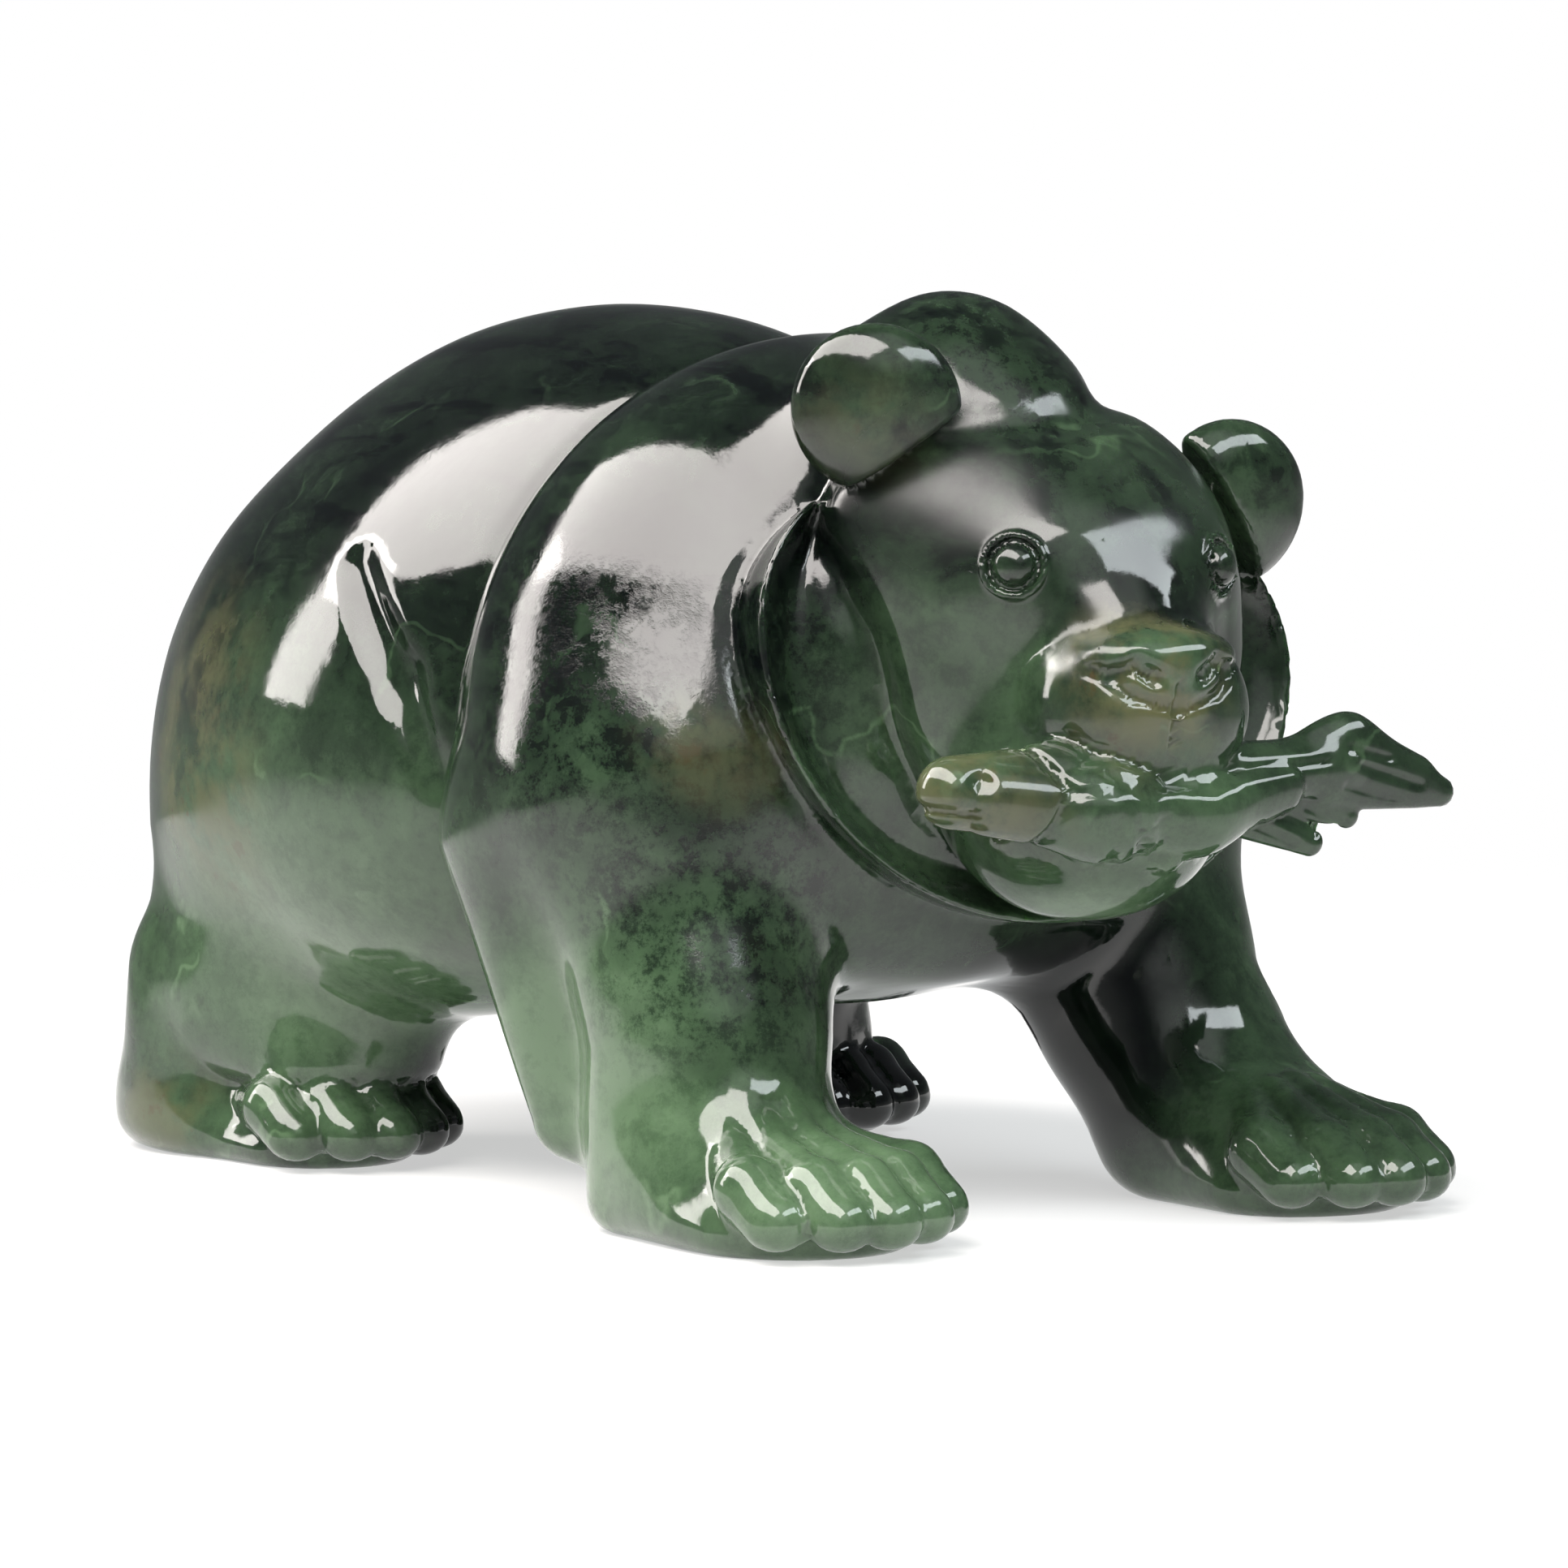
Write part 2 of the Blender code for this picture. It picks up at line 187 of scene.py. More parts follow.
# Salmon: its place and turn, and the sticks that it is made of, with their ends and radii.
SALMON = (41, 0.5, 25.7)
SALMON_TURN = (0, 0, -8)
SALMON_BODY = (((0, -12, 0.3), (0, -5.5, 0.1), 2.1, 2.8), ((0, -5.5, 0.1), (0, 12.5, 0.8), 2.8, 1.6))
SALMON_TAIL = (
    ((0, 12, 0.7), (0, 19.2, -0.9), 2.5, 0.9),
    ((0, 7.5, 0.9), (0, 13.2, 1.9), 1.0, 1.6),
    ((0, 13.2, 1.9), (0, 17.5, 0.3), 1.6, 0.9),
)
SALMON_FINS = (
    ((0, 6, -1.4), (0, 10.6, -3.4), 1.6, 0.9),
    ((0, 9, -0.8), (0, 13, -2.0), 1.2, 0.8),
    ((2.2, -3.6, -2.2), (2.2, 0.6, -3.2), 1.3, 1.5),
)
SALMON_BODY_BLEND = 1
SALMON_TAIL_BLEND = 1.5
TAIL_ROOT_BLEND = 0.5
FIN_BLEND = 0.2
FIN_THINNESS = (1.7, 1, 1)
FIN_STEEPNESS = 1.5

# How far the collar, the head and the salmon reach from their places, and how far away
# they count as being from just outside that reach.
RUFF_REACH = 25
HEAD_REACH = 28
SALMON_REACH = 24
OUTSIDE = 3

# Fillets where the masses meet, and the width and depths of the lines scored there.
EDGE_BLEND = 0.3
SCORED_BLEND = 0.5
SCORED_WIDTH = 0.7
SHOULDER_SCORE = 0.4
RUFF_SCORE = 0.3
HEAD_SCORE = 0.4
SOLE_LEVEL = -0.2

# The salmon's belly, full in front of the chin: balls along it, each a place and a radius.
SALMON_BELLY = (
    ((0.6, -10, 0), 2.2),
    ((1.5, -3.5, -0.9), 2.6),
    ((1.0, 2.5, -1.2), 2.3),
    ((0.5, 8, 0), 1.9),
)
BELLY_BLEND = 2

# Polishing waves: the greatest depth, and for each wave the way it runs and its start.
POLISH_DEPTH = 0.09
POLISH_WAVES = (((0.55, 0.21, 0.32), 1.1), ((-0.24, 0.52, 0.41), 2.3), ((0.31, -0.37, 0.66), 0.4))

# Eyes: the dome's radius and rise, and for each ring its radius, width and rise.
EYE_DOME = (1.25, 0.7)
EYE_RINGS = ((1.34, 0.18, -0.28), (1.72, 0.2, 0.36))

# How near the surface the relief is worked out, and the fillet between a line's stretches.
RELIEF_REACH = 3
LINE_BLEND = 0.2

# Lines cut last. Each is its points, across and up, its width and its depth.
# Round the nose: below it, its lower edges, the nostrils, its upper edge, the lips.
NOSE_LINES = (
    (((-0.2, 0.6), (-0.2, -1.6), (-0.1, -4.6)), 0.34, 0.36),
    (((-4.6, 1.6), (-2.8, 0.1), (-0.2, -0.7)), 0.38, 0.3),
    (((4.2, 1.6), (2.4, 0.1), (-0.2, -0.7)), 0.38, 0.3),
    (((-1.7, 1.2), (-2.7, 1.9), (-3.6, 1.5)), 0.5, 0.65),
    (((1.3, 1.2), (2.3, 1.9), (3.2, 1.5)), 0.5, 0.65),
    (((-3.6, 3.7), (-0.2, 4.3), (3.2, 3.7)), 0.6, 0.16),
    (((-0.1, -4.6), (-2.2, -5.2), (-4.4, -4.2)), 0.4, 0.3),
    (((-0.1, -4.6), (2.0, -5.2), (4.2, -4.2)), 0.4, 0.3),
)
# On the salmon: mouth, gill, eye, side line, rays in the tail, the rear fins and the front fin.
SALMON_LINES = (
    (((-15, -0.3), (-11.4, -0.8)), 0.28, 0.3),
    (((-7.6, 2.6), (-6.4, 0.3), (-7.6, -2.4)), 0.36, 0.3),
    (((-11.3, 0.95), (-11.1, 1.0)), 0.5, 0.3),
    (((-5.8, 0.2), (11, 1.2)), 0.3, 0.14),
    (((13.4, 0.9), (17.4, -0.4)), 0.32, 0.2),
    (((12.4, -0.2), (15.6, -1.1)), 0.3, 0.16),
    (((12.6, 1.9), (15.4, 1.2)), 0.3, 0.16),
    (((6.6, -2.2), (9.4, -3.4)), 0.3, 0.16),
    (((8.3, -1.9), (10.8, -3)), 0.3, 0.16),
    (((10.2, -1.4), (12.4, -2.3)), 0.3, 0.16),
    (((-4, -1.4), (-3.2, -4.6)), 0.32, 0.34),
    (((-2.4, -1.4), (-1.6, -4.6)), 0.32, 0.34),
    (((-0.8, -1.4), (0, -4.6)), 0.32, 0.34),
)
# Where they are cut: a place and its turn, how far back and forward of it, and the lines.
LINED = (
    (MUZZLE, FACE_TURN, 1, 12, NOSE_LINES),
    (SALMON, SALMON_TURN, -3.5, 5, SALMON_LINES),
)

# Eyes, nose and the salmon's two ends have more facets: a place and a reach for each,
# and the share of that reach which each round of halving takes in.
FINE_PLACES = (
    (EYES[0][0], 3.4),
    (EYES[1][0], 3.4),
    ((43.6, 0.8, 32), 5),
    ((39.5, -9, 25.7), 6),
    ((43, 12, 25.5), 8),
)
FINE_REACHES = (1, 0.8)

# Colours: the stone's greens from the darkest to the palest, and where clouds of each sort lie:
# centre, reach and strength, in the carving's millimetres. Some pale clouds are painted
# reflection and painted sheen, and some dark ones are painted shade.
GREENS = (
    (0.0, (0.001, 0.002, 0.002, 1)),
    (0.25, (0.006, 0.011, 0.007, 1)),
    (0.5, (0.020, 0.038, 0.020, 1)),
    (0.75, (0.048, 0.088, 0.044, 1)),
    (1.0, (0.095, 0.155, 0.085, 1)),
)
OLIVE = (0.095, 0.098, 0.046, 1)
BROWN = (0.060, 0.042, 0.018, 1)
PALE_AND_PAINTED_LIGHT = (
    # Painted reflection of the white floor, low on the right side: fore leg and flank.
    ((17, -22, 9), 15, 0.30),
    ((-14, -22, 18), 20, 0.22),
    # Painted reflection on the right cheek, then a chin paler partly in its stone and partly by
    # painted reflection of the floor.
    ((34, -9, 31), 12, 0.30),
    ((36, -1, 19), 9, 0.45),
    # Painted reflection of the floor on the right fore paw's side.
    ((38, -19, 2), 14, 0.22),
    # Paler salmon.
    ((41, 0.5, 25.7), 12, 0.15),
    # Painted reflection of the floor on the right hind leg, then a chest paler partly in its stone
    # and partly by painted reflection of the floor.
    ((-30, -20, 12), 12, 0.12),
    ((26, 8, 24), 12, 0.15),
    # Paler top of the head and ears.
    ((30, 2, 50), 16, 0.15),
    ((29, -9, 48), 7, 0.35),
    ((28, 16, 42), 7, 0.3),
    # Painted sheen on the forehead, then a paler nose pad.
    ((36, 4, 43), 10, 0.2),
    ((45, -1, 32), 6, 0.3),
)
DARK_AND_PAINTED_SHADE = (
    # Painted shade low between the legs and under the belly: inside the left fore leg and on the two
    # hind paws.
    ((22, 8, 11), 12, 0.6),
    ((-17, -10, 2), 7, 0.9),
    ((-10, 16, 4), 11, 0.7),
    # Darker places on the right shoulder and leg, on the back and on the nose's bridge.
    ((20, -20, 37), 12, 0.15),
    ((24, -17, 19), 10, 0.12),
    ((-10, -12, 50), 16, 0.1),
    ((41, 0.1, 36.3), 5, 0.15),
)
GRAINY = (
    ((20, -19, 33), 16, 0.8),
    ((24, -17, 18), 11, 0.8),
    ((30, -2, 50), 12, 0.4),
)
OLIVE_SPOTS = (
    ((-24, -24, 27), 12, 0.7),
    ((44.5, -1.5, 32), 7, 1.0),
    ((-32.6, -23.5, 3), 6, 0.6),
    ((24.8, -17, 28), 5, 0.5),
    ((29, -10, 47), 6, 0.4),
    ((40, -11, 25.5), 7, 0.8),
)
SATIN = (
    ((32, -7, 43), 8.5, 0.34),
    ((36, 5, 44), 9, 0.22),
    ((41, -4, 35), 4, 0.25),
)

# Stone: kinds of noise are a blob's size, detail, roughness and distortion; limits are where
# a patch begins and where it is full.
WANDER = 7
WANDER_SIZE = 9
WANDER_DETAIL = 4
SPOT_CORE = 0.3
BACK_TONE = 0.27
LEG_TONE = 0.40
LEG_HEIGHTS = (46, 8)
CLOUD = (13, 6, 0.62)
CLOUD_TONE = 0.85
MOTTLE = (3.5, 6, 0.7)
MOTTLE_TONE = 0.5
STREAK_STRETCH = (0.22, 1, 1)
STREAKS = ((3.2, 5, 0.65, 0.4), (0.5, 0.66))
STREAK_HEIGHTS = (28, 44)
STREAK_TONE = 0.24
VEIN_SHEETS = (14, 3, 0.5)
VEIN_EDGES = (0.014, 0.001)
VEIN_PLACES = ((8, 2, 0.5), (0.52, 0.62))
VEIN_TONE = 0.22
OLIVE_PATCHES = ((4, 5, 0.6), (0.36, 0.58))
SPECKS = ((2.2, 4, 0.6), (0.62, 0.7))
FLECKS = ((1.5, 6, 0.8), (0.44, 0.64))
FLECK_TONE = 0.4
GRAIN_ANYWHERE = 0.25

# Polish: how rough it is at its best and elsewhere, and the fine peel, its height in metres.
POLISH_PATCHES = (5, 4, 0.6)
POLISHED = (0.04, 0.09)
FLECK_ROUGHNESS = 0.06
PEEL = (1.6, 3, 0.5)
PEEL_HEIGHT = 0.00002
PEEL_STRENGTH = 0.5
PIT_DEPTH = 0.3

# Light in the stone: how much of it, and how far each colour goes, in metres once scaled.
NEPHRITE_IOR = 1.61
GLOW_SHARE = 0.5
GLOW_REACHES = (0.7, 1.0, 0.6)
GLOW_SCALE = 0.0015

# Camera, in metres and degrees: its aim, its azimuth and elevation, and the frame's width there.
AIM = Vector((0.00827, 0, 0.0243))
VIEW = (56.8, 3.8)
ROLL = -0.8
DISTANCE = 0.42
VIEW_WIDTH = 0.094706
SENSOR = 36
NEAREST = 0.01

# Floor: half its side, where it fades and ends, and the paper's tooth.
FLOOR_HALF = 1
FLOOR_FADE = 0.045
FLOOR_END = 0.24
FLOOR_WHITE = 0.4
FLOOR_GLOW = 0.55
FLOOR_ROUGHNESS = 0.9
FLOOR_GLOSS = 0.1
TOOTH_SIZE = 1 / 900
TOOTH_HEIGHT = 0.00003
TOOTH_STRENGTH = 0.2

# Room: its colours below and above those heights, and a pale scrim at an azimuth and elevation.
WHITE = (1, 1, 1, 1)
ROOM_LOW = (0.30, 0.31, 0.30, 1)
ROOM_HIGH = (0.08, 0.085, 0.09, 1)
ROOM_HEIGHTS = (-0.12, 0.25)
SCRIM = (72, 50)
SCRIM_REACH = (0.75, 0.97)
SCRIM_COLOUR = (0.85, 0.9, 0.87, 1)

# Lights: name, azimuth, elevation, size, lean, radiance and colour, all at one distance.
LIGHT_DISTANCE = 1.0
LIGHTS = (
    ("large_softbox", -3, 58, (2.1, 0.6), 4, 8.5, (1, 0.95, 0.92)),
    ("side_softbox", -49, 22, (0.24, 0.5), 0, 8.5, (1, 0.95, 0.92)),
    ("far_softbox", 120, 41, (1.0, 0.26), 0, 7, (0.9, 0.97, 1)),
)


# ---------------------------------------------------------------- distance functions


def seen_from(p, origin, turn):
    """Points as seen from a feature that is placed and turned, in degrees."""
    axes = Euler(np.radians(turn)).to_matrix()
    return (p - np.array(origin)) @ np.array(axes)


def ellipsoid(p, centre, radii, under=None):
    """Distance to an ellipsoid, true near its surface, flatter under its middle."""
    q = p - np.array(centre, float)
    size = np.broadcast_to(np.array(radii, float), q.shape).copy()
    if under:
        size[q[:, 2] < 0, 2] = under
    ratio = np.linalg.norm(q / size, axis=1)
    slope = np.linalg.norm(q / size**2, axis=1)
    return ratio * (ratio - 1) / np.maximum(slope, TINY)


def rod(p, start, end, radius, end_radius):
    """Distance to a stick with round ends of two sizes."""
    start = np.array(start, float)
    axis = np.array(end, float) - start
    along = np.clip((p - start) @ axis / (axis @ axis), 0, 1)
    reach = np.linalg.norm(p - start - along[:, None] * axis, axis=1)
    return reach - radius - (end_radius - radius) * along


def join(a, b, soft):
    """Union of two distances with a fillet of the given width."""
    near = np.maximum(soft - np.abs(a - b), 0)
    return np.minimum(a, b) - near**2 / (4 * soft)


def cut(a, b, soft):
    """What is left of the first when the second is taken out of it."""
    return -join(-a, b, soft)


def eased(x):
    """A smooth step from nought to one."""
    x = np.clip(x, 0, 1)
    return x * x * (3 - 2 * x)


def seam(a, b, soft, width, depth):
    """Union with a line scored along the meeting of the two surfaces."""
    return join(a, b, soft) + depth * np.exp(-(((a - b) / width) ** 2))


def rods(p, sticks, soft):
    """Several sticks joined."""
    shape = rod(p, *sticks[0])
    for stick in sticks[1:]:
        shape = join(shape, rod(p, *stick), soft)
    return shape


def chain(p, balls, soft):
    """A limb through a row of balls."""
    shape = rod(p, balls[0][0], balls[1][0], balls[0][1], balls[1][1])
    for (start, radius), (end, end_radius) in zip(balls[1:], balls[2:]):
        shape = join(shape, rod(p, start, end, radius, end_radius), soft)
    return shape


def mirrored(p, side):
    """Points as the left side sees them, so that both sides share one shape."""
    return p * (1, side, 1)


def paw(p, ankle, toe_end, half_width, height):
    """A rounded wedge along the ground, ending in a row of toes."""
    ankle, toe_end = np.array((*ankle, 0.0)), np.array((*toe_end, 0.0))
    way = toe_end - ankle
    length = np.linalg.norm(way)
    q = seen_from(p, ankle, (0, 0, np.degrees(np.arctan2(way[1], way[0]))))
    flat = q * (1, 1, 0)
    ball = (length - TOE_REACH - half_width, 0, 0)
    palm = rod(flat, (0, 0, 0), ball, half_width * HEEL_SHARE, half_width)
    fall = height - WEB_HEIGHT
    slope = fall * (np.clip(q[:, 0], 0, length) / length) ** PAW_SLOPE
    top = q[:, 2] - height + slope + q[:, 1] ** 2 / (PAW_CROWN * half_width)
    toes = FAR
    root = length * TOE_ROOT
    root_lift = height - fall * TOE_ROOT**PAW_SLOPE - TOE_ROOT_DEPTH
    for index in range(TOES):
        spread = index / (TOES - 1) * 2 - 1
        across = spread * (half_width - TOE_RADIUS)
        tip = length - TOE_RADIUS - TOE_REACH * spread**2
        toe = (
            ((root, across * TOE_FAN, root_lift - spread**2), TOE_ROOT_RADIUS),
            ((tip - TOE_LENGTH, across, KNUCKLE_HEIGHT - TOE_RADIUS), TOE_RADIUS),
            ((tip, across, TOE_TIP_HEIGHT - TOE_RADIUS), TOE_RADIUS),
        )
        toes = np.minimum(toes, chain(q, toe, TOE_BLEND))
    wedge = cut(palm, -top, PAW_EDGE)
    return join(wedge, toes, TOE_BLEND)


def hindquarters(p):
    """Rump, waist and flank hollows, hind legs and the tail nub."""
    shape = ellipsoid(seen_from(p, BARREL_PLACE, BARREL_TURN), *BARREL)
    for side, hind_paw, step in (
        (1, LEFT_HIND_PAW, LEFT_HIND_STEP),
        (-1, RIGHT_HIND_PAW, RIGHT_HIND_STEP),
    ):
        q = mirrored(p, side)
        shape = cut(shape, ellipsoid(q, *WAIST), WAIST_BLEND)
        flank = join(ellipsoid(q, *RUMP), ellipsoid(q, *HAUNCH), FLANK_BLEND)
        shape = join(shape, flank, HAUNCH_BLEND)
        shape = cut(shape, chain(q, FLANK_GROOVE, 1), GROOVE_BLEND)
        q = q - np.array((step, 0, 0))
        instep = cut(chain(q, INSTEP, 1), q[:, 2] - INSTEP_FOOT, INSTEP_BLEND)
        foot = join(paw(p, *hind_paw), rod(q, *HEEL), HEEL_BLEND)
        thigh = join(chain(q, HIND_LEG, LIMB_BLEND), chain(q, THIGH, LIMB_BLEND), LEG_BLEND)
        shape = join(join(shape, thigh, THIGH_BLEND), instep, HEEL_BLEND)
        shape = join(shape, foot, FOOT_BLEND)
    return join(shape, rod(p, *TAIL), TAIL_BLEND)


def forequarters(p):
    """Shoulders, hump, neck and fore legs."""
    shape = join(ellipsoid(p, *SHOULDERS), ellipsoid(p, *HUMP), HUMP_BLEND)
    for side, fore_paw, shift, step in (
        (1, LEFT_FORE_PAW, LEFT_FORE_SHIFT, LEFT_ELBOW_STEP),
        (-1, RIGHT_FORE_PAW, RIGHT_FORE_SHIFT, RIGHT_ELBOW_STEP),
    ):
        q = mirrored(p, side)
        leg = chain(q - np.array(shift), FORE_LEG, LEG_BLEND)
        leg = join(leg, paw(p, *fore_paw), ANKLE_BLEND)
        shape = join(shape, leg, LEG_BLEND)
        elbow = chain(q - np.array((step, 0, 0)), ELBOW, LEG_BLEND)
        shape = join(shape, elbow, ELBOW_BLEND)
    return join(join(shape, ellipsoid(p, *NECK), NECK_BLEND), rod(p, *NAPE), NAPE_BLEND)


def ruff(p):
    """A collar with a sharp rim, hollowed between the rim and the face."""
    q = seen_from(p, RUFF, RUFF_TURN)
    ring = ellipsoid(q * (0, 1, 1), (0, 0, 0), *RUFF_SIZE)
    hollow = np.maximum(1 - (ring / RUFF_BAND + 1) ** 2, 0)
    front = q[:, 0] - RUFF_FRONT - RUFF_LEAN * q[:, 2] + RUFF_HOLLOW * hollow
    back = ring - RUFF_TAPER * q[:, 0] + np.maximum(-RUFF_DEPTH - q[:, 0], 0)
    return cut(front, -back, RIM_BLEND)


def muzzle(q):
    """A domed snout with two lips and a broad nose pad, seen along the face."""
    lips = join(ellipsoid(q, *LIP), ellipsoid(mirrored(q, -1), *LIP), LIP_BLEND)
    shape = join(ellipsoid(q, *SNOUT), lips, SNOUT_BLEND)
    nose = join(ellipsoid(q, *NOSE), ellipsoid(q, *NOSE_TIP), NOSE_TIP_BLEND)
    return join(shape, nose, NOSE_BLEND)


def head(p):
    """Skull, jaw, forehead and brow, with the muzzle in front."""
    q = seen_from(p, SKULL[0], HEAD_TURN)
    shape = join(ellipsoid(q, (0, 0, 0), SKULL[1]), ellipsoid(p, *JAW), JAW_BLEND)
    q = seen_from(p, FOREHEAD[0], HEAD_TURN)
    shape = join(shape, ellipsoid(q, (0, 0, 0), FOREHEAD[1]), BROW_BLEND)
    q = seen_from(p, MUZZLE, FACE_TURN)
    shape = join(shape, rod(q * (1, BROW_FLATNESS, 1), *BROW), BROW_BLEND)
    up_the_bridge = eased((q[:, 2] - BRIDGE_START) / BRIDGE_RISE)
    return join(shape, muzzle(q), CHIN_BLEND + STOP_BLEND * up_the_bridge)


def ear(p, place, radius, turn, angle, base):
    """A convex disc, cut straight where it meets the head."""
    q = seen_from(p, place, turn)
    disc = ellipsoid(q, (0, 0, 0), (EAR_THICKNESS, radius, radius))
    angle = np.radians(angle)
    outward = q[:, 1] * -np.cos(angle) + q[:, 2] * np.sin(angle)
    return cut(disc, outward + base, EAR_BLEND)


def salmon(p):
    """Body with its head to the bear's right, fins below, and a ridged tail."""
    q = seen_from(p, SALMON, SALMON_TURN)
    thin = q * FIN_THINNESS
    tail = rods(thin, SALMON_TAIL, SALMON_TAIL_BLEND) / FIN_STEEPNESS
    fins = rods(thin, SALMON_FINS, FIN_BLEND) / FIN_STEEPNESS
    shape = join(rods(q, SALMON_BODY, SALMON_BODY_BLEND), tail, TAIL_ROOT_BLEND)
    return join(shape, fins, EDGE_BLEND)


def nearby(p, centre, reach, field):
    """The field inside a ball that holds the feature, and the way to the ball outside."""
    away = np.linalg.norm(p - np.array(centre), axis=1) - reach
    result = away + OUTSIDE
    close = away < 0
    result[close] = field(p[close])
    return result


def bear(p):
    """All the masses joined, scored where they meet and rounded in at the soles."""
    halves = seam(
        hindquarters(p), forequarters(p), SHOULDER_CREASE, SCORED_WIDTH, SHOULDER_SCORE
    )
    collar = nearby(p, RUFF, RUFF_REACH, ruff)
    shape = seam(halves, collar, SCORED_BLEND, SCORED_WIDTH, RUFF_SCORE)
    face = nearby(p, MUZZLE, HEAD_REACH, head)
    shape = seam(shape, face, SCORED_BLEND, SCORED_WIDTH, HEAD_SCORE)
    for side in (RIGHT_EAR, LEFT_EAR):
        shape = join(shape, ear(p, *side), EDGE_BLEND)
    shape = join(shape, nearby(p, SALMON, SALMON_REACH, salmon), EDGE_BLEND)
    return cut(shape, p[:, 2] - SOLE_LEVEL, SOLE_EDGE)


# ---------------------------------------------------------------- the finished surface


def sampled(field, step):
    """The field on a grid, worked out in full only in blocks that the surface crosses."""
    side = BLOCK_SIDE
    block = side * step
    counts = np.ceil((np.array(HIGH) - LOW) / block).astype(int)
    corners = np.stack(np.meshgrid(*map(np.arange, counts), indexing="ij"), -1)
    centres = np.array(LOW) + (corners.reshape(-1, 3) + 0.5) * block - step / 2
    guess = field(centres)
    grid = np.repeat(guess, side**3).reshape(-1, side, side, side)
    inside = np.stack(np.meshgrid(*[np.arange(side)] * 3, indexing="ij"), -1)
    offsets = (inside - (side - 1) / 2) * step
    crossed = np.flatnonzero(np.abs(guess) < block * BLOCK_REACH)
    for start in range(0, len(crossed), BLOCKS_AT_ONCE):
        some = crossed[start : start + BLOCKS_AT_ONCE]
        points = centres[some][:, None, None, None] + offsets
        grid[some] = field(points.reshape(-1, 3)).reshape(-1, side, side, side)
    grid = grid.reshape(*counts, side, side, side).transpose(0, 3, 1, 4, 2, 5)
    return grid.reshape(counts * side)


def surface(field, step):
    """Points and outward triangles of the field's zero surface."""
    volume = openvdb.FloatGrid()
    volume.copyFromArray(sampled(field, step).astype(np.float32))
    points, triangles, quads = volume.convertToPolygons(isovalue=0.0)
    faces = np.concatenate([triangles, quads[:, :3], quads[:, [0, 2, 3]]])
    return points * step + np.array(LOW), faces


def scored(shape, q, lines):
    """The surface with fine grooves cut along lines that are drawn across and up."""
    for places, width, depth in lines:
        balls = [((0, *place), 0) for place in places]
        away = chain(q, balls, LINE_BLEND)
        shape = shape + depth * np.exp(-((away / width) ** 2))
    return shape


def lidded(shape, p, place, turn):
    """The face with one round eye in a raised ring, both following its surface."""
    q = seen_from(p, place, turn)
    far_side = np.abs(q[:, 0]) > RELIEF_REACH
    away = np.hypot(q[:, 1], q[:, 2]) + RELIEF_REACH * far_side
    radius, rise = EYE_DOME
    height = rise * np.sqrt(np.maximum(1 - (away / radius) ** 2, 0))
    for ring, width, ring_rise in EYE_RINGS:
        height += ring_rise * np.exp(-(((away - ring) / width) ** 2))
    return shape - height


def belly(p):
    """The fuller middle of the salmon."""
    return chain(seen_from(p, SALMON, SALMON_TURN), SALMON_BELLY, BELLY_BLEND)


def masses(p):
    """The bear before its finer relief, with the salmon's belly full in front of the chin."""
    return np.minimum(bear(p), nearby(p, SALMON, SALMON_REACH, belly))


def polish(p):
    """The slight waves that hand polishing leaves, always below the drawn surface."""
    waves = [np.sin(p @ np.array(way) + start) for way, start in POLISH_WAVES]
    return POLISH_DEPTH * (0.5 + sum(waves) / (2 * len(waves)))


def finished(p):
    """The bear with its finer relief, on flat soles."""
    shape = masses(p) + polish(p)
    close = np.abs(shape) < RELIEF_REACH
    near_skin, skin = p[close], shape[close]
    for place, turn in EYES:
        skin = lidded(skin, near_skin, place, turn)
    for place, turn, back, front, lines in LINED:
        q = seen_from(near_skin, place, turn)
        there = (q[:, 0] > back) & (q[:, 0] < front)
        skin[there] = scored(skin[there], q[there] * (0, 1, 1), lines)
    shape[close] = skin
    return np.maximum(shape, -p[:, 2])


def settled(field, points):
    """Points moved along the field's slope on to its zero surface, where they can reach it."""
    start = points
    for _ in range(SETTLING_ROUNDS):
        slope = np.empty_like(points)
        for axis in range(3):
            nudge = np.eye(3)[axis] * SLOPE_STEP
            slope[:, axis] = field(points + nudge) - field(points - nudge)
        slope /= 2 * SLOPE_STEP
        steep = np.maximum((slope**2).sum(axis=1), LEAST_SLOPE)
        move = slope * (field(points) / steep)[:, None]
        length = np.maximum(np.linalg.norm(move, axis=1), TINY)
        points = points - move * np.minimum(1, MOST_MOVE / length)[:, None]
    off_surface = np.abs(field(points)) > NEAR_ENOUGH
    astray = off_surface | (np.linalg.norm(points - start, axis=1) > LONGEST_WAY)
    points[astray] = start[astray]
    return points


def mesh_of(name, points, faces):
    """A mesh from its points and faces."""
    mesh = bpy.data.meshes.new(name)
    mesh.from_pydata(points.tolist(), [], faces.tolist())
    return mesh


def placed(name, data):
    """A new object in the scene."""
    made = bpy.data.objects.new(name, data)
    bpy.context.scene.collection.objects.link(made)
    return made


def thinned(points, faces):
    """The surface with fewer facets."""
    mesh = mesh_of("thinning", points, faces)
    piece = placed("thinning", mesh)
    piece.modifiers.new("fewer_facets", "DECIMATE").ratio = TRIANGLES / len(faces)
    thin = piece.evaluated_get(bpy.context.evaluated_depsgraph_get()).to_mesh()
    thin.calc_loop_triangles()
    points = np.empty(len(thin.vertices) * 3)
    faces = np.empty(len(thin.loop_triangles) * 3, np.int32)
    thin.vertices.foreach_get("co", points)
    thin.loop_triangles.foreach_get("vertices", faces)
    bpy.data.objects.remove(piece)
    bpy.data.meshes.remove(mesh)
    return points.reshape(-1, 3), faces.reshape(-1, 3)


